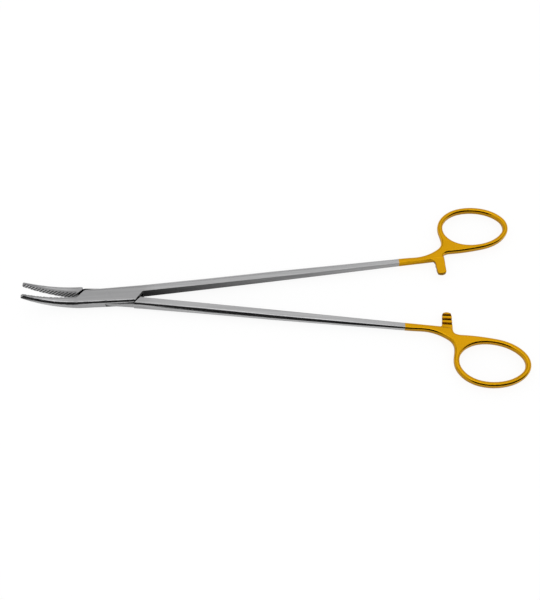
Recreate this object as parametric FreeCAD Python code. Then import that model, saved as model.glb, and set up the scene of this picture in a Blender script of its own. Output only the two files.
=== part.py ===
"""Ring-handled surgical needle holder with curved jaws, built from one photo.

Sizes are in millimetres.  The frame: the origin is on the pivot axis at the
resting plane under the box lock, X runs from the jaws to the finger rings,
Z is up and the jaws curve up.  Each arm is drawn for the closed instrument,
with its jaw face on the plane Y = 0, and is then turned about the pivot by
half of the opening angle, so the files hold the opening of the photo.
"""
import FreeCAD
import Part
import os
from math import acos, atan, cos, degrees, hypot, pi, radians, sin, tan

# Opening
REST_OPENING_DEG = 7.3       # angle between the two jaw faces as built
FACE_GAP = 0.03              # each jaw face stops this far from Y = 0

# Box lock
BOX_THICK = 6.4              # height of the box in Z
BOX_JAW_X = 17.0             # the box ends this far on the jaw side
BOX_SHANK_X = 17.8           # and this far on the handle side
BOX_JAW_HALF = 4.5           # half width at the jaw end
BOX_SHANK_HALF = 5.3         # half width at the handle end
BOX_ROUND = 1.95             # rounding along the long outer edges
SHOULDER_JAW_X = 12.6        # where the jaw side shoulder meets the outer edge
SHOULDER_SHANK_X = 13.2      # where the handle side shoulder meets it
SHOULDER_GAP = 0.12          # gap along the shoulders when closed
SHOULDER_ROUND = 1.6         # outer corner of the other arm's jaw shoulder
CHEEK_ROUND = 0.9            # outer corner of the cheeks on the handle side
TONGUE_THICK = 2.2           # flat tongue of the other arm
TONGUE_PLAY = 0.05           # gap above and below the tongue
TONGUE_SET = 0.1             # its side faces lie this far inside those of the box
TONGUE_EDGE_GAP = 0.1        # gap between the tongue and the slot's end walls
TONGUE_HOLD = 0.4            # the tongue reaches this far into its jaw and shank
TONGUE_INSET = 1.5           # its corners there are set in by about this much
TONGUE_LEAN = 0.5            # slope of the set-in edge beside the shank
TONGUE_CORNER = 0.375        # first step of the set-in corner beside the jaw
MOUTH_X = 2.4                # the slot opens to the side from here on

# Pivot
PIN_DIAM = 3.2
PIN_RUNNING_GAP = 0.04       # radial gap between the pin and the tongue

# Jaws
JAW_REACH = 29.0             # from the box to the tip along X
JAW_CURVE_DEG = 33.0         # upward turn of the jaw from root to tip
JAW_TIP_WIDTH = 1.55         # plan width of one jaw at the tip
JAW_WIDTH_FADE = 0.9         # power of the plan taper
JAW_TIP_HEIGHT = 2.9
JAW_TIP_ROUND = 0.9          # rounding of the outer edges at the tip
INSERT_THICK = 0.95          # carbide insert, measured square to its face
INSERT_ROOT_GAP = 0.6        # the insert stops this far from the box end
GROOVE_PITCH = 1.5           # spacing of the crossing grooves
GROOVE_DEPTH = 0.26
GROOVE_WIDTH = 0.62
GROOVE_ANGLE_DEG = 45.0

# Shanks
SHANK_ROOT_Y = 0.7           # inner edge at the box, from the closed midplane
SHANK_END_X = 158.5          # the plated handle end starts here
SHANK_END_Y = 8.15           # inner edge there
SHANK_END_WIDTH = 3.7
SHANK_BOW = 0.22             # slight inward bow at mid length
SHANK_SWELL = 0.75           # the shank is this much wider at mid length
SHANK_THIN = 1.15            # power of the taper in height
SHANK_ROOT_ROUND = 0.3       # rounding of the inner edges at the box
HALF_ROUND = 0.47            # the outer side is rounded by this share of the height
HALF_ROUND_RISE = 2.0        # larger brings that rounding in nearer the shank's ends
PLATING_STEP = 0.03          # the steel ends this far inside the plated end

# Handle ends and finger rings
HANDLE_THICK = 3.7
RING_RUN = 44.75             # middle of the finger hole, past the plating line
RING_Y = 29.1
HOLE_LENGTH = 34.1
HOLE_WIDTH = 22.3
RING_WALL = 2.8
RING_EGG = 0.08              # the ring is fuller toward the box by this share
ROUND_SHARE = 0.46           # edge rounding as a share of the ring wall
NECK_REACH = 8.0             # the shank starts to turn this far before the ring
NECK_SWING = 1.6             # and has moved outward by this much there
NECK_WAIST_X = 0.7           # the waist of the neck, past the ring's end in X
NECK_WAIST_Y = 7.3           # and nearer the midplane than the ring's middle
HANDLE_SLOPE = 0.06          # slope of the shank's inner edge at the ratchet
NECK_START_DEG = 3.0         # outward lean of the outer edge at the plating line
NECK_DEG = 20.0              # and where the neck begins
WEB_REACH = 4.0              # the web beside the ratchet ends this far from the bar
WEB_RISE = 4.2
WEB_END_DEG = -80.0          # place on the ring where the web leaves it
CORNER_ROUND = 1.6

# Ratchet
RATCHET_RUN = 22.6           # middle of the bar, past the plating line
RATCHET_WIDTH = 5.4
RATCHET_TIP_Y = 0.15         # the bar ends this far from the closed midplane
RATCHET_THICK = 1.9
RATCHET_OVERLAP = 0.3        # height shared by the teeth of both bars
TOOTH_PITCH = 2.6
TOOTH_DEPTH = 0.75
TOOTH_COUNT = 3
TOOTH_START = 1.1            # first tooth from the tip of the bar
TOOTH_SLOPE_SHARE = 0.62     # length of a tooth's slope as a share of the pitch
TOOTH_FACE_LEAN = 0.25       # lean of its steep face
RATCHET_FLARE = 2.2          # the bar widens by this where it leaves the shank
RATCHET_DROP = 1.3           # the flare starts this far below the root line
RATCHET_SINK = 1.2           # depth of the root inside the shank
RATCHET_TAPER = 0.2          # the bar narrows by this on each side
RATCHET_NOSE = 1.8           # length of its rounded tip
RATCHET_ROUND = 0.5          # rounding round the toothless face

JAW_SPANS = 6
TIP_SPARE = 0.2              # the arc at the jaw's tip is this much larger than the tip
SHANK_SPANS = 4              # straight spans that follow the bow of the shank
OVER = 1.0                   # cutting blocks reach this far past what they cut
NEAR = 0.001                 # edges this close to a level count as lying on it
MID_Z = BOX_THICK / 2.0
JAW_RADIUS = JAW_REACH / sin(radians(JAW_CURVE_DEG))
EDGE_ROUND = ROUND_SHARE * RING_WALL
RING_X = SHANK_END_X + RING_RUN
RATCHET_X = SHANK_END_X + RATCHET_RUN


def vec(x, y, z=0.0):
    return FreeCAD.Vector(x, y, z)


def mirrored(shape):
    """The same shape on the other side of the midplane Y = 0."""
    return shape.mirror(vec(0, 0), vec(0, 1))


def turned(shape, angle_deg):
    """The shape turned about the pivot axis."""
    out = shape.copy()
    out.rotate(vec(0, 0), vec(0, 0, 1), angle_deg)
    return out


def section(x, z, tilt, y_in, y_out, height, r_in, r_out):
    """Rounded rectangle across the arm.

    It stands on the point (x, z) with its height along the direction that
    leans by tilt from Z toward +X.  The corners at y_in have the radius
    r_in and those at y_out have the radius r_out, and 0 leaves them sharp.
    """
    up = vec(sin(tilt), 0, cos(tilt))
    base = vec(x, 0, z)
    half = height / 2.0
    sign = 1.0 if y_out > y_in else -1.0
    bend = 1.0 - cos(pi / 4.0)
    corners = [
        (y_out, -half, -sign, 1.0, r_out),
        (y_out, half, -sign, -1.0, r_out),
        (y_in, half, sign, -1.0, r_in),
        (y_in, -half, sign, 1.0, r_in),
    ]

    def place(y, u):
        return base + vec(0, y, 0) + up * u

    runs = []
    for index, (y, u, dy, du, r) in enumerate(corners):
        middle = place(y + dy * r * bend, u + du * r * bend)
        points = [place(y + dy * r, u), middle, place(y, u + du * r)]
        if index % 2 == 1:
            points.reverse()
        runs.append(points if r > 0.0 else points[:1])
    edges = []
    for index, points in enumerate(runs):
        if len(points) == 3:
            edges.append(Part.Arc(*points).toShape())
        edges.append(Part.makeLine(points[-1], runs[(index + 1) % 4][0]))
    return Part.Wire(edges)


def plate(points, z_low, z_high):
    """Upright block over a plan polygon."""
    wire = Part.makePolygon([vec(x, y, z_low) for x, y in points + points[:1]])
    return Part.Face(wire).extrude(vec(0, 0, z_high - z_low))


def corner_wedge(before, corner, after, radius):
    """Upright block that takes a sharp plan corner off with an arc."""
    ways = []
    for point in (before, after):
        dx, dy = point[0] - corner[0], point[1] - corner[1]
        size = hypot(dx, dy)
        ways.append((dx / size, dy / size))
    (ax, ay), (bx, by) = ways
    half_turn = acos(ax * bx + ay * by) / 2.0
    run = radius / tan(half_turn)
    start = (corner[0] + ax * run, corner[1] + ay * run)
    end = (corner[0] + bx * run, corner[1] + by * run)
    edges = [arc_from(start, (-ax, -ay), end),
             Part.makeLine(vec(*end), vec(*corner)),
             Part.makeLine(vec(*corner), vec(*start))]
    wedge = Part.Face(Part.Wire(edges)).extrude(vec(0, 0, BOX_THICK + 2.0 * OVER))
    wedge.translate(vec(0, 0, -OVER))
    return wedge


def arc_from(start, way, end):
    """Arc, or line, that leaves start along the unit direction way."""
    (x0, y0), (x1, y1) = start, end
    dx, dy = x1 - x0, y1 - y0
    lean = -way[1] * dx + way[0] * dy
    chord = hypot(dx, dy)
    if abs(lean) < 1e-6 * chord:
        return Part.makeLine(vec(x0, y0), vec(x1, y1))
    radius = chord ** 2 / (2.0 * lean)
    cx, cy = x0 - way[1] * radius, y0 + way[0] * radius
    mx, my = (x0 + x1) / 2.0 - cx, (y0 + y1) / 2.0 - cy
    share = abs(radius) / hypot(mx, my)
    middle = vec(cx + mx * share, cy + my * share)
    return Part.Arc(vec(x0, y0), middle, vec(x1, y1)).toShape()


def blend(start, way, end, end_way):
    """Two arcs that join smoothly from one point and direction to another."""
    vx, vy = end[0] - start[0], end[1] - start[1]
    tx, ty = way[0] + end_way[0], way[1] + end_way[1]
    along = vx * tx + vy * ty
    open_share = 2.0 * (1.0 - way[0] * end_way[0] - way[1] * end_way[1])
    length = vx ** 2 + vy ** 2
    if open_share < 1e-9:
        reach = length / (2.0 * along)
    else:
        reach = (-along + (along ** 2 + open_share * length) ** 0.5) / open_share
    joint = ((start[0] + end[0] + reach * (way[0] - end_way[0])) / 2.0,
             (start[1] + end[1] + reach * (way[1] - end_way[1])) / 2.0)
    back = (-end_way[0], -end_way[1])
    return [arc_from(start, way, joint), arc_from(end, back, joint)]


def smooth_run(stations):
    """Smooth plan curve through points, each given with its direction."""
    edges = []
    for (start, way), (end, end_way) in zip(stations[:-1], stations[1:]):
        edges += blend(start, way, end, end_way)
    return edges


def heading(angle_deg):
    angle = radians(angle_deg)
    return cos(angle), sin(angle)


# The jaws

def jaw_station(share):
    """Position, tilt, width and height of the jaw at a share of its length."""
    angle = radians(JAW_CURVE_DEG) * share
    x = -BOX_JAW_X - JAW_RADIUS * sin(angle)
    z = MID_Z + JAW_RADIUS * (1.0 - cos(angle))
    width = JAW_TIP_WIDTH + (BOX_JAW_HALF - JAW_TIP_WIDTH) * max(0.0, 1.0 - share) ** JAW_WIDTH_FADE
    height = BOX_THICK + (JAW_TIP_HEIGHT - BOX_THICK) * share
    return x, z, angle, width, height


def jaw_blank():
    """Curved jaw on the +Y side, flat on the midplane, before the insert."""
    wires = []
    for index in range(JAW_SPANS + 1):
        share = index / JAW_SPANS
        x, z, angle, width, height = jaw_station(share)
        outer = BOX_ROUND + (JAW_TIP_ROUND - BOX_ROUND) * share
        wires.append(section(x, z, angle, FACE_GAP, width, height, 0.0, outer))
    blank = Part.makeLoft(wires, True, False)
    return blank.common(tip_keeper())


def tip_keeper():
    """Block that holds the jaw and rounds its tip in the side view."""
    x, z, angle, width, height = jaw_station(1.0)
    along = vec(-cos(angle), 0, sin(angle))
    up = vec(sin(angle), 0, cos(angle))
    tip = vec(x, 0, z)
    half = height / 2.0 + TIP_SPARE
    low = tip - along * half - up * half
    high = tip - along * half + up * half
    root_x = -BOX_JAW_X + OVER
    room = 2.0 * JAW_REACH
    corners = [low, vec(low.x, 0, -room), vec(root_x, 0, -room),
               vec(root_x, 0, room), vec(high.x, 0, room), high]
    edges = [Part.Arc(high, tip, low).toShape()]
    for start, end in zip(corners[:-1], corners[1:]):
        edges.append(Part.makeLine(start, end))
    keeper = Part.Face(Part.Wire(edges)).extrude(vec(0, 4.0 * BOX_JAW_HALF, 0))
    keeper.translate(vec(0, -2.0 * BOX_JAW_HALF, 0))
    return keeper


def insert_slab():
    """Space of the carbide insert on the +Y side."""
    x_root = -BOX_JAW_X - INSERT_ROOT_GAP
    room = 2.0 * JAW_REACH
    return Part.makeBox(room, INSERT_THICK + OVER, 2.0 * room,
                        vec(x_root - room, FACE_GAP - OVER, -room))


def groove(direction, offset, middle):
    """One V groove across the gripping face, run along a slanted line."""
    angle = radians(GROOVE_ANGLE_DEG)
    along = vec(cos(angle), 0, direction * sin(angle))
    across = vec(-direction * sin(angle), 0, cos(angle))
    start = middle + across * offset - along * JAW_REACH
    lift = GROOVE_DEPTH
    wide = GROOVE_WIDTH / 2.0 * (GROOVE_DEPTH + lift) / GROOVE_DEPTH
    wire = Part.makePolygon([
        start - across * wide + vec(0, -lift, 0),
        start + vec(0, GROOVE_DEPTH, 0),
        start + across * wide + vec(0, -lift, 0),
        start - across * wide + vec(0, -lift, 0),
    ])
    return Part.Face(wire).extrude(along * 2.0 * JAW_REACH)


def jaw_insert(blank):
    """Carbide insert with crossed grooves on its gripping face."""
    body = blank.common(insert_slab())
    x, z = jaw_station(0.5)[:2]
    middle = vec(x, FACE_GAP, z)
    count = int((JAW_REACH + BOX_THICK) / 2.0 / GROOVE_PITCH) + 1
    cutters = []
    for direction in (1, -1):
        for index in range(-count, count + 1):
            cutters.append(groove(direction, index * GROOVE_PITCH, middle))
    return body.cut(cutters)


def jaw_body(blank):
    return blank.cut(insert_slab())


# The box lock

def box_block():
    """Straight box blank with rounded long edges, both halves."""
    wires = []
    for x, half in ((-BOX_JAW_X, BOX_JAW_HALF), (BOX_SHANK_X, BOX_SHANK_HALF)):
        wires.append(section(x, MID_Z, 0.0, -half, half, BOX_THICK, BOX_ROUND, BOX_ROUND))
    return Part.makeLoft(wires, True, True)


def half_at(x):
    """Half width of the box at a place along X."""
    share = (x + BOX_JAW_X) / (BOX_JAW_X + BOX_SHANK_X)
    return BOX_JAW_HALF + (BOX_SHANK_HALF - BOX_JAW_HALF) * share


def shoulder_lines():
    """Ends of the two slanted shoulder lines of the cheeks."""
    jaw_side = ((-BOX_JAW_X, 0.0), (-SHOULDER_JAW_X, half_at(-SHOULDER_JAW_X)))
    shank_side = ((BOX_SHANK_X, SHANK_ROOT_Y), (SHOULDER_SHANK_X, -half_at(SHOULDER_SHANK_X)))
    return jaw_side, shank_side


def beyond(line, shift):
    """Block on the outer side of a shoulder line, moved away by shift."""
    (x0, y0), (x1, y1) = line
    length = hypot(x1 - x0, y1 - y0)
    reach = BOX_JAW_X + BOX_SHANK_X
    ux = (x1 - x0) / length
    uy = (y1 - y0) / length
    nx, ny = -uy, ux
    if nx * x0 < 0:
        nx, ny = -nx, -ny
    grow = 0.0 if shift == 0.0 else BOX_THICK / 2.0
    a = (x0 - ux * grow + nx * shift, y0 - uy * grow + ny * shift)
    b = (x1 + ux * BOX_THICK + nx * shift, y1 + uy * BOX_THICK + ny * shift)
    c = (b[0] + nx * reach, b[1] + ny * reach)
    d = (a[0] + nx * reach, a[1] + ny * reach)
    return plate([a, b, c, d], -OVER, BOX_THICK + OVER)


def half_space(side, level):
    """Block past the level in Y, on the +Y side for 1 and the -Y side for -1."""
    reach = BOX_JAW_X + BOX_SHANK_X
    low, high = sorted((level, side * reach))
    return plate([(-reach, low), (reach, low), (reach, high), (-reach, high)],
                 -OVER, BOX_THICK + OVER)


def slot_slopes():
    """Slopes of the slot's two closed end walls."""
    jaw = half_at(-MOUTH_X) / (BOX_JAW_X - MOUTH_X)
    shank_side = (half_at(MOUTH_X) - SHANK_ROOT_Y) / (BOX_SHANK_X - MOUTH_X)
    return jaw, shank_side


def slot_space():
    """Space of the tongue in the box, open at both sides."""
    slope_jaw, slope_shank = slot_slopes()
    out = 2.0 * BOX_SHANK_HALF
    points = [
        (-BOX_JAW_X - OVER, slope_jaw * OVER),
        (-MOUTH_X, -half_at(-MOUTH_X)),
        (-MOUTH_X, -out),
        (BOX_SHANK_X, -out),
        (BOX_SHANK_X + OVER, SHANK_ROOT_Y - slope_shank * OVER),
        (MOUTH_X, half_at(MOUTH_X)),
        (MOUTH_X, out),
        (-BOX_JAW_X, out),
    ]
    low = MID_Z - TONGUE_THICK / 2.0 - TONGUE_PLAY
    high = MID_Z + TONGUE_THICK / 2.0 + TONGUE_PLAY
    return plate(points, low, high)


def tongue():
    """Flat tongue between the shoulders of the other arm."""
    slope_jaw, slope_shank = slot_slopes()
    slope_side = (BOX_SHANK_HALF - BOX_JAW_HALF) / (BOX_JAW_X + BOX_SHANK_X)
    gap = TONGUE_EDGE_GAP
    inset = TONGUE_INSET
    x_jaw = -BOX_JAW_X - TONGUE_HOLD
    x_shank = BOX_SHANK_X + TONGUE_HOLD
    jaw_run = (BOX_JAW_HALF - TONGUE_SET + gap) / (slope_jaw - slope_side)
    shank_run = (BOX_SHANK_HALF - TONGUE_SET + gap - SHANK_ROOT_Y) / (slope_shank + slope_side)

    def side(x):
        return half_at(x) - TONGUE_SET

    near_x = SHOULDER_SHANK_X + inset
    far_x = -SHOULDER_JAW_X - inset
    points = [
        (x_jaw, gap + slope_jaw * TONGUE_HOLD),
        (jaw_run - BOX_JAW_X, -side(jaw_run - BOX_JAW_X)),
        (near_x, -side(near_x)),
        (x_shank, inset - side(near_x)),
        (x_shank, SHANK_ROOT_Y - gap - inset),
        (BOX_SHANK_X - inset, SHANK_ROOT_Y - gap + (slope_shank - TONGUE_LEAN) * inset),
        (BOX_SHANK_X - shank_run, side(BOX_SHANK_X - shank_run)),
        (far_x, side(far_x) - TONGUE_CORNER),
        (x_jaw, side(far_x) - inset),
    ]
    low = MID_Z - TONGUE_THICK / 2.0
    return plate(points, low, low + TONGUE_THICK)


# The shanks and handle ends

def shank_station(share):
    """Inner edge, outer edge, height and edge roundings of the shank."""
    swell = sin(pi * share)
    inner = SHANK_ROOT_Y + (SHANK_END_Y + PLATING_STEP - SHANK_ROOT_Y) * share
    inner -= SHANK_BOW * swell
    root_width = BOX_SHANK_HALF - SHANK_ROOT_Y
    end_width = SHANK_END_WIDTH - 2.0 * PLATING_STEP
    width = root_width + (end_width - root_width) * share + SHANK_SWELL * swell
    end_height = HANDLE_THICK - 2.0 * PLATING_STEP
    height = end_height + (BOX_THICK - end_height) * (1.0 - share) ** SHANK_THIN
    r_in = SHANK_ROOT_ROUND + (EDGE_ROUND - SHANK_ROOT_ROUND) * share
    r_out = BOX_ROUND + (EDGE_ROUND - BOX_ROUND) * share
    r_out += (HALF_ROUND * height - r_out) * min(1.0, HALF_ROUND_RISE * swell)
    return inner, inner + width, height, r_in, r_out


def shank():
    """Tapered shank on the +Y side from the box to the handle end."""
    wires = []
    for index in range(SHANK_SPANS + 1):
        share = index / SHANK_SPANS
        inner, outer, height, r_in, r_out = shank_station(share)
        x = BOX_SHANK_X + (SHANK_END_X - BOX_SHANK_X) * share
        wires.append(section(x, MID_Z, 0.0, inner, outer, height, r_in, r_out))
    return Part.makeLoft(wires, True, True)


def ring_place(angle, wall):
    """Point and direction of the ring outline, wall outside the finger hole."""
    x = RING_X + HOLE_LENGTH / 2.0 * cos(angle)
    y = RING_Y + HOLE_WIDTH / 2.0 * sin(angle) * (1.0 - RING_EGG * cos(angle))
    dx = -HOLE_LENGTH / 2.0 * sin(angle)
    dy = HOLE_WIDTH / 2.0 * (cos(angle) - RING_EGG * cos(2.0 * angle))
    size = hypot(dx, dy)
    return (x + wall * dy / size, y - wall * dx / size), (dx / size, dy / size)


def ring_stations(angles_deg, wall):
    """Points and directions along the ring outline at the given angles."""
    turn = 1.0 if angles_deg[-1] > angles_deg[0] else -1.0
    stations = []
    for angle in angles_deg:
        point, way = ring_place(radians(angle), wall)
        stations.append((point, (turn * way[0], turn * way[1])))
    return stations


def shank_inner_edge(x):
    """Plan position of the inner edge of the shank near the ratchet."""
    return SHANK_END_Y + HANDLE_SLOPE * (x - SHANK_END_X)


def handle_outline():
    """Closed plan wire round the shank end and the finger ring."""
    start_in = (SHANK_END_X, SHANK_END_Y)
    start_out = (SHANK_END_X, SHANK_END_Y + SHANK_END_WIDTH)
    bar_right = RATCHET_X + RATCHET_WIDTH / 2.0
    corner_x = bar_right - CORNER_ROUND
    ring_left = ring_place(pi, RING_WALL)[0][0]
    neck = (ring_left - NECK_REACH, start_out[1] + NECK_SWING)
    outer = [
        (start_out, heading(NECK_START_DEG)),
        (neck, heading(NECK_DEG)),
        ((ring_left + NECK_WAIST_X, RING_Y - NECK_WAIST_Y), heading(90)),
    ]
    outer += ring_stations((180, 135, 90, 45, 0, -45, WEB_END_DEG), RING_WALL)
    outer += [
        ((bar_right + WEB_REACH, shank_inner_edge(bar_right) + WEB_RISE), heading(180)),
        ((bar_right, shank_inner_edge(bar_right) + CORNER_ROUND), heading(270)),
        ((corner_x, shank_inner_edge(corner_x)), heading(180 + degrees(atan(HANDLE_SLOPE)))),
    ]
    edges = smooth_run(outer)
    last = outer[-1][0]
    edges.append(Part.makeLine(vec(*last), vec(*start_in)))
    edges.append(Part.makeLine(vec(*start_in), vec(*start_out)))
    return Part.Wire(edges)


def finger_hole():
    return Part.Wire(smooth_run(ring_stations(range(0, 361, 45), 0.0)))


def handle_end():
    """Plated end of an arm on the +Y side: shank end and finger ring."""
    low = MID_Z - HANDLE_THICK / 2.0
    outer = Part.Face(handle_outline()).extrude(vec(0, 0, HANDLE_THICK))
    hole = Part.Face(finger_hole()).extrude(vec(0, 0, HANDLE_THICK))
    body = outer.cut(hole)
    rims = []
    for edge in body.Edges:
        flat = edge.BoundBox.ZLength < NEAR
        at_join = edge.CenterOfMass.x < SHANK_END_X + NEAR
        if flat and not at_join:
            rims.append(edge)
    body = body.makeFillet(EDGE_ROUND, rims)
    body.translate(vec(0, 0, low))
    return body


def ratchet_bar(teeth_up):
    """Ratchet bar on the +Y side, teeth on its upper or lower face."""
    half = RATCHET_WIDTH / 2.0
    left = RATCHET_X - half
    right = RATCHET_X + half
    root_y = shank_inner_edge(RATCHET_X) + RATCHET_SINK
    flare_y = root_y - RATCHET_DROP
    tip = RATCHET_TIP_Y
    side = [
        ((left - RATCHET_FLARE, flare_y), heading(0)),
        ((left, flare_y - RATCHET_FLARE), heading(270)),
        ((left + RATCHET_TAPER, tip + RATCHET_NOSE), heading(270)),
        ((RATCHET_X, tip), heading(0)),
        ((right - RATCHET_TAPER, tip + RATCHET_NOSE), heading(90)),
        ((right, root_y), heading(90)),
    ]
    edges = smooth_run(side)
    back = [side[-1][0], (left - RATCHET_FLARE, root_y), side[0][0]]
    for start, end in zip(back[:-1], back[1:]):
        edges.append(Part.makeLine(vec(*start), vec(*end)))
    bar = Part.Face(Part.Wire(edges)).extrude(vec(0, 0, RATCHET_THICK))
    rims = []
    for edge in bar.Edges:
        box = edge.BoundBox
        if box.ZMax < NEAR and box.YMin < flare_y - NEAR:
            rims.append(edge)
    bar = bar.makeFillet(RATCHET_ROUND, rims)
    cutters = []
    for index in range(TOOTH_COUNT):
        y = tip + TOOTH_START + TOOTH_PITCH * index
        steep = vec(left - RATCHET_FLARE, y - TOOTH_FACE_LEAN, RATCHET_THICK + TOOTH_FACE_LEAN)
        deep = vec(left - RATCHET_FLARE, y, RATCHET_THICK - TOOTH_DEPTH)
        shallow = vec(left - RATCHET_FLARE, y + TOOTH_PITCH * TOOTH_SLOPE_SHARE,
                      RATCHET_THICK + TOOTH_FACE_LEAN)
        profile = Part.makePolygon([steep, deep, shallow, steep])
        cutters.append(Part.Face(profile).extrude(vec(RATCHET_WIDTH + 2.0 * RATCHET_FLARE, 0, 0)))
    bar = bar.cut(cutters)
    bar.translate(vec(0, 0, MID_Z + RATCHET_OVERLAP / 2.0 - RATCHET_THICK))
    if not teeth_up:
        bar = bar.mirror(vec(0, 0, MID_Z), vec(0, 0, 1))
    return bar


# Whole arms

def pin_bore(radius):
    return Part.makeCylinder(radius, BOX_THICK + 2.0 * OVER, vec(0, 0, -OVER))


def box_arm(jaw):
    """Arm with the box: jaw at -Y, shank and ring at +Y."""
    jaw_side, shank_side = shoulder_lines()
    block = box_block()
    block = block.cut(beyond(jaw_side, 0.0))
    block = block.cut(beyond(shank_side, 0.0))
    block = block.cut(slot_space())
    block = block.cut(corner_wedge((0.0, -half_at(0.0)), shank_side[1], shank_side[0], CHEEK_ROUND))
    body = block.fuse([mirrored(jaw), shank(), handle_end(), ratchet_bar(False)])
    body = body.cut(pin_bore(PIN_DIAM / 2.0))
    return body.removeSplitter()


def tongue_arm(jaw):
    """Arm with the tongue: jaw at +Y, shank and ring at -Y."""
    jaw_side, shank_side = shoulder_lines()
    block = box_block()
    jaw_shoulder = block.common(beyond(jaw_side, SHOULDER_GAP))
    jaw_shoulder = jaw_shoulder.cut(half_space(-1.0, FACE_GAP))
    (root_x, root_y), (top_x, top_y) = jaw_side
    lean = SHOULDER_GAP * hypot(top_x - root_x, top_y - root_y) / (top_y - root_y)
    before = (-BOX_JAW_X, BOX_JAW_HALF)
    corner = (top_x - lean, top_y)
    after = (root_x - lean, root_y)
    jaw_shoulder = jaw_shoulder.cut(corner_wedge(before, corner, after, SHOULDER_ROUND))
    shank_shoulder = block.common(beyond(shank_side, SHOULDER_GAP))
    shank_shoulder = shank_shoulder.cut(half_space(1.0, -SHANK_ROOT_Y))
    body = tongue().fuse([jaw, jaw_shoulder, shank_shoulder, mirrored(shank()),
                          mirrored(handle_end()), mirrored(ratchet_bar(True))])
    body = body.cut(pin_bore(PIN_DIAM / 2.0 + PIN_RUNNING_GAP))
    return body.removeSplitter()


def main():
    os.makedirs("parts", exist_ok=True)
    half_open = REST_OPENING_DEG / 2.0
    blank = jaw_blank()
    jaw = jaw_body(blank)
    insert = jaw_insert(blank)
    nodes = {
        "box_arm": turned(box_arm(jaw), half_open),
        "tongue_arm": turned(tongue_arm(jaw), -half_open),
        "pivot_pin": Part.makeCylinder(PIN_DIAM / 2.0, BOX_THICK),
        "box_jaw_insert": turned(mirrored(insert), half_open),
        "tongue_jaw_insert": turned(insert, -half_open),
    }
    for name, shape in nodes.items():
        solids = shape.Solids
        if len(solids) != 1 or not solids[0].isValid():
            raise ValueError(name + " is not one valid solid")
        solids[0].exportStep(os.path.join("parts", name + ".step"))


main()
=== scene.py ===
from math import cos, pi, radians, sin

import bpy
from mathutils import Matrix, Vector

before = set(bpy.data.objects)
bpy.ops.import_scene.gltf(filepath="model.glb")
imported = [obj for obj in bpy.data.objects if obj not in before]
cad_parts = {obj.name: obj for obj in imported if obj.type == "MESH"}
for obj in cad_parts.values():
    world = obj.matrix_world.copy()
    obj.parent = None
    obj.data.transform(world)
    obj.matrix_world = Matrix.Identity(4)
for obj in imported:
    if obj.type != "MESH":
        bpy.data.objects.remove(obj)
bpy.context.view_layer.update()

# Camera, fitted to the outlines in the photograph
IMAGE_WIDTH = 540
IMAGE_HEIGHT = 600
FOCAL_PX = 887.756
CAMERA_DISTANCE = 0.482546
CAMERA_ELEVATION = radians(60.0)
CAMERA_AZIMUTH = radians(0.0591)
CAMERA_ROLL = radians(-0.6918)
CAMERA_TARGET = Vector((0.086347, -0.000991, 0.0))
SENSOR = 36.0
CLIP_START = 0.01
CLIP_END = 20.0

# Lamps: place, size and brightness of each, and the point they are aimed at
TOP_LAMP = ((0.25, 0.55, 1.10), 0.9, 0.22)
LEFT_LAMP = ((-0.85, 0.35, 0.75), 0.6, 0.25)
LAMP_AIM = Vector((0.09, 0.0, 0.0))

# The floor: half its side, and how far it lies under the part
FLOOR_HALF = 4.0
FLOOR_DROP = 0.00015

# Colours, linear
STEEL = (0.46, 0.46, 0.465)
STEEL_EDGE = (0.66, 0.66, 0.665)
GOLD = (0.77, 0.385, 0.006)
GOLD_EDGE = (0.95, 0.66, 0.06)
CARBIDE = (0.34, 0.34, 0.345)
CARBIDE_EDGE = (0.45, 0.45, 0.455)
GRIP = (0.68, 0.68, 0.685)
# The colour of the real crossed cuts, nearly black with painted shade
CUT_PAINTED_SHADE = (0.02, 0.02, 0.022)
FLOOR_WHITE = (0.95, 0.95, 0.95)
WHITE = (1.0, 1.0, 1.0, 1.0)

# Each colour varies between these shares of itself
STEEL_SPREAD = (0.90, 1.06)
GOLD_SPREAD = (0.93, 1.05)
CARBIDE_SPREAD = (0.80, 1.15)

# Edges: the radius that counts as one, the bend at which it starts and is full,
# and how much of the edge colour shows
ARM_EDGE_RADIUS = 0.00022
CARBIDE_EDGE_RADIUS = 0.00010
EDGE_BEND = (0.995, 0.9)
STEEL_EDGE_SHARE = 0.5
GOLD_EDGE_SHARE = 0.4
CARBIDE_EDGE_SHARE = 0.6

# Grinding marks: noise scale along and across the arm, and detail
FINE_GRIND = (55.0, 3200.0, 3.0)
STREAK_GRIND = (14.0, 700.0, 2.0)

# Even patterns: noise scale, detail and, where it isn't the usual one, roughness
CLOUD = (45.0, 3.0)
CARBIDE_GRAIN = (5200.0, 4.0, 0.7)
CARBIDE_PATCH = (320.0, 2.0)

# Ranges of the noise that a colour or a roughness follows
NOISE_NARROW = (0.35, 0.65)
NOISE_MIDDLE = (0.3, 0.7)
NOISE_WIDE = (0.25, 0.75)

# Samples of the rounded normal and of the recesses
EDGE_SAMPLES = 6
RECESS_SAMPLES = 8

# Roughness between the smoothest and the roughest places
STEEL_ROUGH = (0.13, 0.22)
GOLD_ROUGH = (0.10, 0.16)
CARBIDE_ROUGH = (0.38, 0.52)

# Bump: strength on steel, plating and carbide, and the depths
STEEL_BUMP = 0.35
GOLD_BUMP = 0.12
CARBIDE_BUMP = 0.5
ARM_BUMP_DEPTH = 0.000012
CARBIDE_BUMP_DEPTH = 0.00003
STREAK_BUMP_SHARE = 0.6
GRAIN_BUMP_SHARE = 0.3

# The arms lie at this angle to the X axis, one each way, and the plating starts here
ARM_ANGLE = radians(3.65)
GOLD_START = 0.15847

# The box is ground a little darker than the jaws and shanks beyond it
BOX_TONE = 0.92
SHANK_TONE = 1.10
TONE_CHANGE = (0.0165, 0.0260)

# A face turns from sloping to upright while the Z of its normal falls between these
SHEER_Z = (0.45, 0.30)

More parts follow.
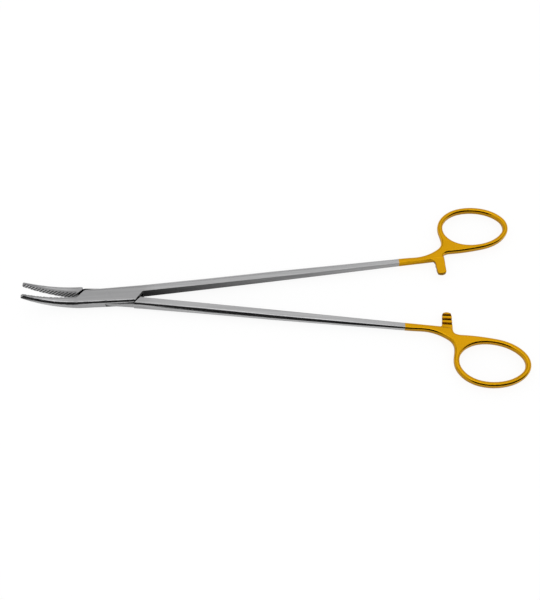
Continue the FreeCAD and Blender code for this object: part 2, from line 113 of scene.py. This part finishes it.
# Faces whose normal has more Z than this are flat: satin, so rougher than the polished
# roundings and less metallic
FLAT_Z = (0.93, 0.985)
FLAT_ROUGHER = 0.28
FLAT_METAL = 0.70

# The walls between the arms get painted shade, darkest toward the box, and are mostly matt
INNER_FACING = (0.55, 0.80)
INNER_START = (0.0160, 0.0185)
INNER_LENGTH = (0.018, 0.150)
INNER_PAINTED_SHADE = (0.10, 0.75)
MATT_FACING = (0.12, 0.38)
MATT_END = (0.170, 0.180)
INNER_METAL = 0.25

# Surfaces that have another one within this reach get painted shade
RECESS_REACH = 0.0013
RECESS_OPEN = (0.30, 0.85)
RECESS_PAINTED_SHADE = 0.04

# The box lock: middle height, half height of its slot, half width and half length.
# The slot is open to the side up to this far past the pivot.
BOX_MIDDLE = 0.0032
SLOT_HALF = 0.0011
BOX_HALF = 0.0043
BOX_END = 0.0178
MOUTH = 0.0024

# Painted shade on the walls inside the lock and a painted shadow on the lips of its
# slot: where they fade, measured from the sizes above
LOCK_PAINTED_SHADE = 0.05
WALL_END_FADE = 0.0004
WALL_SIDE_FADE = 0.0005
LEDGE_FADE = (0.0002, 0.0001)
LIP_FADE = (0.0, 0.00002, 0.0003, 0.0005)
LIP_SIDE_FADE = (0.0007, 0.0003)
LIP_END_FADE = (0.0002, 0.0008)

# Painted shade on the plating's upright sides, and more on those of the ratchet bars
GOLD_SIDE_PAINTED_SHADE = 0.62
BAR_SIDE_PAINTED_SHADE = 0.30
BAR_LENGTH = (0.1770, 0.1775, 0.1845, 0.1850)
BAR_WIDTH = (0.0090, 0.0086)

# Crossed cuts of the gripping faces, in line with the modelled grooves, with painted shade in
# them
GRIP_FACING = (0.45, 0.75)
GRIP_METAL = 0.35
HATCH_PITCH = 0.0015
HATCH_ANGLE = pi / 4.0
HATCH_MIDDLE = (-0.03212, 0.00539)
MAIN_CUT = (-0.35, 0.45)
CROSS_CUT = (0.3, 0.8)
CROSS_SHARE = 0.25

# Brightness of the studio as the metal sees it, by height and by direction
CEILING_FAR = 0.82
CEILING_NEAR = 0.88
CEILING_TURN = (-0.6, 0.8)
WALL_FAR = 0.42
WALL_NEAR = 0.45
WALL_TURN = (-0.4, 0.5)
WALL_HEIGHT = (0.24, 0.36, 0.70, 0.82)
OVERHEAD_GLOW = 0.95
GLOW_HEIGHT = (0.93, 0.975)
GLOW_TURN = (0.0, 0.5)
FRONT = (0.22, -0.975, 0.0)

# Brightness of the studio for surfaces that scatter their light
ROOM_LIGHT = 0.86

# A black card in front, which draws the black line along the near side
CARD_WAY = (0.37, -0.93, 0.0)
CARD_TURN = (0.45, 0.72)
CARD_HEIGHT = (-0.02, 0.03, 0.91, 0.95)
CARD_DARK = 0.010

# Its other half on the floor, along the near arm, and only in reflections
FLOOR_CARD_WAY = (0.1136, 1.0, 0.0)
FLOOR_CARD_START = (-0.0110, -0.0190)
FLOOR_CARD_END = (0.175, 0.155)
FLOOR_CARD_OFF_BOX = (0.012, 0.022)
FLOOR_CARD_DARK = 0.02

# How much plain white the floor shows to the camera and in reflections
FLOOR_SEEN = 0.86
FLOOR_MIRRORED = 0.22
FLOOR_GLOW = 1.03

X_AXIS = (1.0, 0.0, 0.0)
Z_AXIS = (0.0, 0.0, 1.0)


class Nodes:
    """A short way to build a node tree."""

    def __init__(self, tree):
        self.tree = tree
        tree.nodes.clear()

    def add(self, kind, inputs=None, **settings):
        node = self.tree.nodes.new(kind)
        for name, value in settings.items():
            setattr(node, name, value)
        for key, value in (inputs or {}).items():
            self.put(node.inputs[key], value)
        return node

    def put(self, socket, value):
        if isinstance(value, bpy.types.NodeSocket):
            self.tree.links.new(value, socket)
        else:
            socket.default_value = value

    def coordinate(self, name):
        return self.add("ShaderNodeTexCoord").outputs[name]

    def vector(self, x, y, z):
        return self.add("ShaderNodeCombineXYZ", {0: x, 1: y, 2: z}).outputs[0]

    def math(self, operation, a, b=0.0, clamp=False):
        node = self.add("ShaderNodeMath", {0: a, 1: b}, operation=operation, use_clamp=clamp)
        return node.outputs[0]

    def absolute(self, value):
        return self.math("ABSOLUTE", value)

    def product(self, first, *others):
        for other in others:
            first = self.math("MULTIPLY", first, other)
        return first

    def total(self, first, *others):
        for other in others:
            first = self.math("ADD", first, other)
        return first

    def dot(self, a, b):
        node = self.add("ShaderNodeVectorMath", {0: a, 1: b}, operation="DOT_PRODUCT")
        return node.outputs["Value"]

    def ramp(self, value, low, high, to_low=0.0, to_high=1.0, smooth=True):
        """Runs from one value to another while the input goes from low to high."""
        kind = "SMOOTHSTEP" if smooth else "LINEAR"
        ends = {0: value, 1: low, 2: high, 3: to_low, 4: to_high}
        return self.add("ShaderNodeMapRange", ends, interpolation_type=kind).outputs[0]

    def blend(self, share, at_none, at_full):
        """Runs in a straight line from one value to another with the share."""
        return self.ramp(share, 0.0, 1.0, at_none, at_full, False)

    def partly(self, share, value):
        """1 where the share is 0, and the value where it is 1."""
        return self.total(1.0, self.product(share, self.math("SUBTRACT", value, 1.0)))

    def band(self, value, rise, full, hold, end):
        """Rises to 1 between the first two values and falls to 0 between the last two."""
        return self.product(self.ramp(value, rise, full), self.ramp(value, end, hold))

    def noise(self, place, scale, detail, rough=0.55):
        inputs = {"Vector": place, "Scale": scale, "Detail": detail, "Roughness": rough}
        return self.add("ShaderNodeTexNoise", inputs).outputs["Fac"]

    def mix_colour(self, share, a, b, blend="MIX"):
        node = self.add("ShaderNodeMix", data_type="RGBA", blend_type=blend)
        colours = [s for s in node.inputs if s.type == "RGBA"]
        self.put(node.inputs[0], share)
        self.put(colours[0], a if not isinstance(a, tuple) else (*a, 1.0))
        self.put(colours[1], b if not isinstance(b, tuple) else (*b, 1.0))
        return [s for s in node.outputs if s.type == "RGBA"][0]

    def spread(self, share, colour, between):
        """The colour between two shares of itself."""
        low, high = (tuple(c * part for c in colour) for part in between)
        return self.mix_colour(share, low, high)

    def toned(self, colour, tone):
        """The colour times a grey tone."""
        return self.mix_colour(1.0, colour, self.vector(tone, tone, tone), "MULTIPLY")


def new_material(name):
    material = bpy.data.materials.new(name)
    material.use_nodes = True
    return material, Nodes(material.node_tree)


def surface(n, colour, roughness, metallic, normal):
    """The one shader of a material."""
    shader = n.add("ShaderNodeBsdfPrincipled", {
        "Base Color": colour, "Roughness": roughness, "Metallic": metallic, "Normal": normal})
    n.add("ShaderNodeOutputMaterial", {"Surface": shader.outputs[0]})
    return shader


def along_arm(n, sign):
    """Object position measured along, across and up from one arm."""
    place = n.coordinate("Object")
    along = n.dot(place, (cos(ARM_ANGLE), sign * sin(ARM_ANGLE), 0.0))
    across = n.dot(place, (-sign * sin(ARM_ANGLE), cos(ARM_ANGLE), 0.0))
    up = n.dot(place, Z_AXIS)
    return along, across, up


def facing(n, sign):
    """How far a face looks across its arm, toward +Y for 1."""
    across = (-sign * sin(ARM_ANGLE), cos(ARM_ANGLE), 0.0)
    return n.dot(n.coordinate("Normal"), across)


def edge_share(n, radius):
    """A value that is 0 on a flat face and 1 on an edge, and the rounded normal."""
    soft = n.add("ShaderNodeBevel", {"Radius": radius}, samples=EDGE_SAMPLES).outputs[0]
    true = n.add("ShaderNodeNewGeometry").outputs["Normal"]
    return n.ramp(n.dot(soft, true), *EDGE_BEND), soft


def painted_recess_shade(n):
    """Painted shade: 1 on open faces, falling toward 0 in a recess."""
    near = n.add("ShaderNodeAmbientOcclusion", {"Distance": RECESS_REACH},
                 samples=RECESS_SAMPLES)
    return n.ramp(near.outputs["AO"], *RECESS_OPEN, RECESS_PAINTED_SHADE, 1.0)


def grinding(n, spot, marks):
    """Noise drawn out along the arm."""
    along, across, up = spot
    long_scale, short_scale, detail = marks
    place = n.vector(n.product(along, long_scale), n.product(across, short_scale),
                     n.product(up, short_scale))
    return n.noise(place, 1.0, detail)


def lock_walls(n, from_middle, sheer):
    """1 on the walls and ledges inside the box lock, where shade is painted."""
    length, width, height = from_middle
    ledge = n.ramp(height, SLOT_HALF + LEDGE_FADE[0], SLOT_HALF + LEDGE_FADE[1])
    inside = n.product(n.ramp(length, BOX_END + WALL_END_FADE, BOX_END - WALL_END_FADE),
                       n.ramp(width, BOX_HALF, BOX_HALF - WALL_SIDE_FADE))
    return n.product(inside, n.math("MAXIMUM", sheer, ledge))


def painted_slot_shadow(n, spot, from_middle):
    """1 on the lips of the slot, along the stretch where it is open to the side, where its shadow
    is painted.
    """
    along, across = spot[:2]
    length, width, height = from_middle
    lip = n.band(height, *(SLOT_HALF + fade for fade in LIP_FADE))
    mouth = n.math("LESS_THAN", n.product(n.math("SIGN", across), along), MOUTH)
    edge = n.product(n.ramp(width, BOX_HALF - LIP_SIDE_FADE[0], BOX_HALF - LIP_SIDE_FADE[1]),
                     n.ramp(length, BOX_END - LIP_END_FADE[0], BOX_END - LIP_END_FADE[1]))
    return n.product(lip, n.product(mouth, edge))


def painted_lock_shade(n, sign, spot, sheer):
    """Painted shade inside the box lock, and for the arm with the box a painted shadow on its
    slot's lips.
    """
    along, across, up = spot
    height = n.absolute(n.math("SUBTRACT", up, BOX_MIDDLE))
    from_middle = (n.absolute(along), n.absolute(across), height)
    hidden = lock_walls(n, from_middle, sheer)
    if sign > 0:
        hidden = n.math("MAXIMUM", hidden, painted_slot_shadow(n, spot, from_middle))
    return n.blend(hidden, 1.0, LOCK_PAINTED_SHADE)


def painted_shade_between_arms(n, along, inward):
    """Painted shade on the walls between the arms, darkest near the box."""
    inner = n.product(n.ramp(inward, *INNER_FACING), n.ramp(along, *INNER_START))
    return n.partly(inner, n.ramp(along, *INNER_LENGTH, *INNER_PAINTED_SHADE, False))


def steel_colour(n, along, streak, edge, tone):
    steel = n.spread(n.ramp(streak, *NOISE_MIDDLE), STEEL, STEEL_SPREAD)
    steel = n.mix_colour(n.product(edge, STEEL_EDGE_SHARE), steel, STEEL_EDGE)
    steel = n.toned(steel, n.ramp(n.absolute(along), *TONE_CHANGE, BOX_TONE, SHANK_TONE))
    # Painted shade darkens the steel by this tone
    return n.toned(steel, tone)


def gold_colour(n, spot, cloud, edge, sheer):
    """Plating, with painted shade on upright sides, darkest on those of the ratchet bars."""
    along, across = spot[:2]
    gold = n.spread(n.ramp(cloud, *NOISE_NARROW), GOLD, GOLD_SPREAD)
    gold = n.mix_colour(n.product(edge, GOLD_EDGE_SHARE), gold, GOLD_EDGE)
    bar = n.product(n.band(along, *BAR_LENGTH), n.ramp(n.absolute(across), *BAR_WIDTH))
    return n.toned(gold, n.partly(sheer, n.blend(bar, GOLD_SIDE_PAINTED_SHADE, BAR_SIDE_PAINTED_SHADE)))


def arm_material(name, sign):
    """Satin steel ground lengthwise, with the plated end beyond a sharp line."""
    material, n = new_material(name)
    spot = along_arm(n, sign)
    along = spot[0]
    fine = grinding(n, spot, FINE_GRIND)
    streak = grinding(n, spot, STREAK_GRIND)
    cloud = n.noise(n.coordinate("Object"), *CLOUD)
    plated = n.math("GREATER_THAN", along, GOLD_START)
    edge, soft = edge_share(n, ARM_EDGE_RADIUS)
    inward = n.product(facing(n, sign), -sign)
    upward = n.absolute(n.dot(n.coordinate("Normal"), Z_AXIS))
    sheer = n.ramp(upward, *SHEER_Z)
    flat = n.ramp(upward, *FLAT_Z)
    matt = n.product(n.ramp(inward, *MATT_FACING), n.band(along, *INNER_START, *MATT_END))

    # The steel's tone is painted shade: between the arms, inside the box lock, on its slot's lips
    # and in recesses
    tone = n.product(painted_shade_between_arms(n, along, inward), painted_lock_shade(n, sign, spot, sheer), painted_recess_shade(n))
    steel = steel_colour(n, along, streak, edge, tone)
    gold = gold_colour(n, spot, cloud, edge, sheer)
    colour = n.mix_colour(plated, steel, gold)

    rough_steel = n.ramp(fine, *NOISE_WIDE, *STEEL_ROUGH, False)
    rough_gold = n.ramp(cloud, *NOISE_MIDDLE, *GOLD_ROUGH, False)
    rough = n.total(n.product(rough_steel, n.math("SUBTRACT", 1.0, plated)),
                    n.product(rough_gold, plated), n.product(flat, FLAT_ROUGHER))
    metallic = n.product(n.blend(flat, 1.0, FLAT_METAL), n.blend(matt, 1.0, INNER_METAL))
    bump = n.add("ShaderNodeBump", {
        "Strength": n.blend(plated, STEEL_BUMP, GOLD_BUMP), "Distance": ARM_BUMP_DEPTH,
        "Height": n.total(fine, n.product(streak, STREAK_BUMP_SHARE)), "Normal": soft})
    shader = surface(n, colour, rough, metallic, bump.outputs[0])
    shader.inputs["Specular IOR Level"].default_value = 0.0
    return material


def crossed_cuts(n, along, up, grip):
    """1 in the cuts that run one way over the gripping face, less in those that cross them;
    painted shade darkens them.
    """
    run = n.math("SUBTRACT", along, HATCH_MIDDLE[0])
    rise = n.math("SUBTRACT", up, HATCH_MIDDLE[1])
    turn = 2.0 * pi / HATCH_PITCH * sin(HATCH_ANGLE)
    one_way = n.math("COSINE", n.product(n.math("SUBTRACT", rise, run), turn))
    other_way = n.math("COSINE", n.product(n.total(rise, run), turn))
    main = n.ramp(one_way, *MAIN_CUT)
    cross = n.product(n.ramp(other_way, *CROSS_CUT), CROSS_SHARE)
    return n.product(n.math("ADD", main, cross, clamp=True), grip)


def carbide_material(name, sign):
    """Ground sintered carbide: grey, with the real crossed cuts across its paler gripping face
    darkened by painted shade.
    """
    material, n = new_material(name)
    along, _, up = along_arm(n, sign)
    grain = n.noise(n.coordinate("Object"), *CARBIDE_GRAIN)
    patch = n.noise(n.coordinate("Object"), *CARBIDE_PATCH)
    edge, soft = edge_share(n, CARBIDE_EDGE_RADIUS)
    grip = n.ramp(n.absolute(facing(n, sign)), *GRIP_FACING)
    cuts = crossed_cuts(n, along, up, grip)

    colour = n.spread(n.ramp(grain, *NOISE_NARROW), CARBIDE, CARBIDE_SPREAD)
    colour = n.mix_colour(n.product(edge, CARBIDE_EDGE_SHARE), colour, CARBIDE_EDGE)
    colour = n.mix_colour(grip, colour, GRIP)
    # Painted shade in the crossed cuts
    colour = n.mix_colour(cuts, colour, CUT_PAINTED_SHADE)
    rough = n.ramp(patch, *NOISE_MIDDLE, *CARBIDE_ROUGH, False)
    bump = n.add("ShaderNodeBump", {
        "Strength": CARBIDE_BUMP, "Distance": CARBIDE_BUMP_DEPTH, "Normal": soft,
        "Height": n.math("SUBTRACT", n.product(grain, GRAIN_BUMP_SHARE), cuts)})
    surface(n, colour, rough, n.blend(grip, 1.0, GRIP_METAL), bump.outputs[0])
    return material


def floor_material():
    """White with a share of the real shadow, and with the black card in reflections."""
    material, n = new_material("studio_floor")
    path = n.add("ShaderNodeLightPath").outputs
    place = n.coordinate("Object")
    along = n.dot(place, X_AXIS)
    card = n.product(n.ramp(n.dot(place, FLOOR_CARD_WAY), *FLOOR_CARD_START),
                     n.ramp(along, *FLOOR_CARD_END),
                     n.ramp(n.absolute(along), *FLOOR_CARD_OFF_BOX), path["Is Glossy Ray"])
    mirrored = n.total(path["Is Glossy Ray"], path["Is Transmission Ray"])
    seen = n.total(n.product(path["Is Camera Ray"], FLOOR_SEEN),
                   n.product(mirrored, FLOOR_MIRRORED))
    matt = n.add("ShaderNodeBsdfDiffuse", {"Color": (*FLOOR_WHITE, 1.0)})
    glow = n.add("ShaderNodeEmission", {
        "Color": WHITE, "Strength": n.blend(card, FLOOR_GLOW, FLOOR_CARD_DARK)})
    mix = n.add("ShaderNodeMixShader", {
        0: n.math("MAXIMUM", seen, card), 1: matt.outputs[0], 2: glow.outputs[0]})
    n.add("ShaderNodeOutputMaterial", {"Surface": mix.outputs[0]})
    return material


def make_world():
    """White to the camera. Metal sees a bright ceiling, grey walls and a black card."""
    world = bpy.data.worlds.new("studio")
    bpy.context.scene.world = world
    world.use_nodes = True
    n = Nodes(world.node_tree)
    way = n.coordinate("Generated")
    height = n.dot(way, Z_AXIS)
    level = n.add("ShaderNodeVectorMath", {0: way, 1: (1.0, 1.0, 0.0)}, operation="MULTIPLY")
    level = n.add("ShaderNodeVectorMath", {0: level.outputs[0]}, operation="NORMALIZE").outputs[0]
    front = n.dot(level, FRONT)

    wall = n.band(height, *WALL_HEIGHT)
    wall_light = n.ramp(front, *WALL_TURN, WALL_FAR, WALL_NEAR)
    ceiling_light = n.ramp(front, *CEILING_TURN, CEILING_FAR, CEILING_NEAR)
    glow = n.product(n.ramp(height, *GLOW_HEIGHT), n.ramp(front, *GLOW_TURN))
    room = n.total(n.product(wall, wall_light),
                   n.product(n.math("SUBTRACT", 1.0, wall), ceiling_light),
                   n.product(glow, OVERHEAD_GLOW))
    card = n.product(n.ramp(n.dot(level, CARD_WAY), *CARD_TURN), n.band(height, *CARD_HEIGHT))

    path = n.add("ShaderNodeLightPath").outputs
    diffuse = path["Is Diffuse Ray"]
    glossy = path["Is Glossy Ray"]
    other = n.math("SUBTRACT", 1.0, n.math("MAXIMUM", diffuse, glossy))
    strength = n.total(n.product(diffuse, ROOM_LIGHT),
                       n.product(glossy, n.product(room, n.blend(card, 1.0, CARD_DARK))), other)
    sky = n.add("ShaderNodeBackground", {"Color": WHITE, "Strength": strength})
    n.add("ShaderNodeOutputWorld", {"Surface": sky.outputs[0]})


def softbox(name, place, size, radiance):
    """A square area lamp of a given brightness, aimed at the middle of the object."""
    lamp = bpy.data.lights.new(name, "AREA")
    lamp.shape = "SQUARE"
    lamp.size = size
    lamp.energy = radiance * pi * size * size
    box = bpy.data.objects.new(name, lamp)
    bpy.context.scene.collection.objects.link(box)
    box.location = place
    aim = LAMP_AIM - Vector(place)
    box.rotation_euler = aim.to_track_quat("-Z", "Y").to_euler()


def make_floor():
    half = FLOOR_HALF
    mesh = bpy.data.meshes.new("studio_floor")
    corners = [(-half, -half, 0), (half, -half, 0), (half, half, 0), (-half, half, 0)]
    mesh.from_pydata(corners, [], [(0, 1, 2, 3)])
    floor = bpy.data.objects.new("studio_floor", mesh)
    floor.location.z = -FLOOR_DROP
    bpy.context.scene.collection.objects.link(floor)
    mesh.materials.append(floor_material())


def make_camera():
    data = bpy.data.cameras.new("camera")
    data.sensor_width = SENSOR
    data.sensor_fit = "AUTO"
    data.lens = FOCAL_PX / max(IMAGE_WIDTH, IMAGE_HEIGHT) * SENSOR
    data.clip_start = CLIP_START
    data.clip_end = CLIP_END
    data.dof.use_dof = False
    camera = bpy.data.objects.new("camera", data)
    bpy.context.scene.collection.objects.link(camera)
    back = Vector((sin(CAMERA_AZIMUTH) * cos(CAMERA_ELEVATION),
                   -cos(CAMERA_AZIMUTH) * cos(CAMERA_ELEVATION), sin(CAMERA_ELEVATION)))
    level = Vector((cos(CAMERA_AZIMUTH), sin(CAMERA_AZIMUTH), 0.0))
    upward = back.cross(level)
    right = level * cos(CAMERA_ROLL) + upward * sin(CAMERA_ROLL)
    top = upward * cos(CAMERA_ROLL) - level * sin(CAMERA_ROLL)
    place = CAMERA_TARGET + back * CAMERA_DISTANCE
    camera.matrix_world = Matrix((
        (right.x, top.x, back.x, place.x),
        (right.y, top.y, back.y, place.y),
        (right.z, top.z, back.z, place.z),
        (0.0, 0.0, 0.0, 1.0)))
    bpy.context.scene.camera = camera


def dress(node, material):
    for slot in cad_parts[node].material_slots:
        slot.material = material


make_camera()
make_world()
make_floor()
softbox("softbox_top", *TOP_LAMP)
softbox("softbox_left", *LEFT_LAMP)

box_steel = arm_material("box_arm_finish", 1.0)
tongue_steel = arm_material("tongue_arm_finish", -1.0)
dress("box_arm", box_steel)
dress("pivot_pin", box_steel)
dress("tongue_arm", tongue_steel)
dress("box_jaw_insert", carbide_material("box_carbide", 1.0))
dress("tongue_jaw_insert", carbide_material("tongue_carbide", -1.0))

bpy.context.scene.view_settings.view_transform = "Standard"
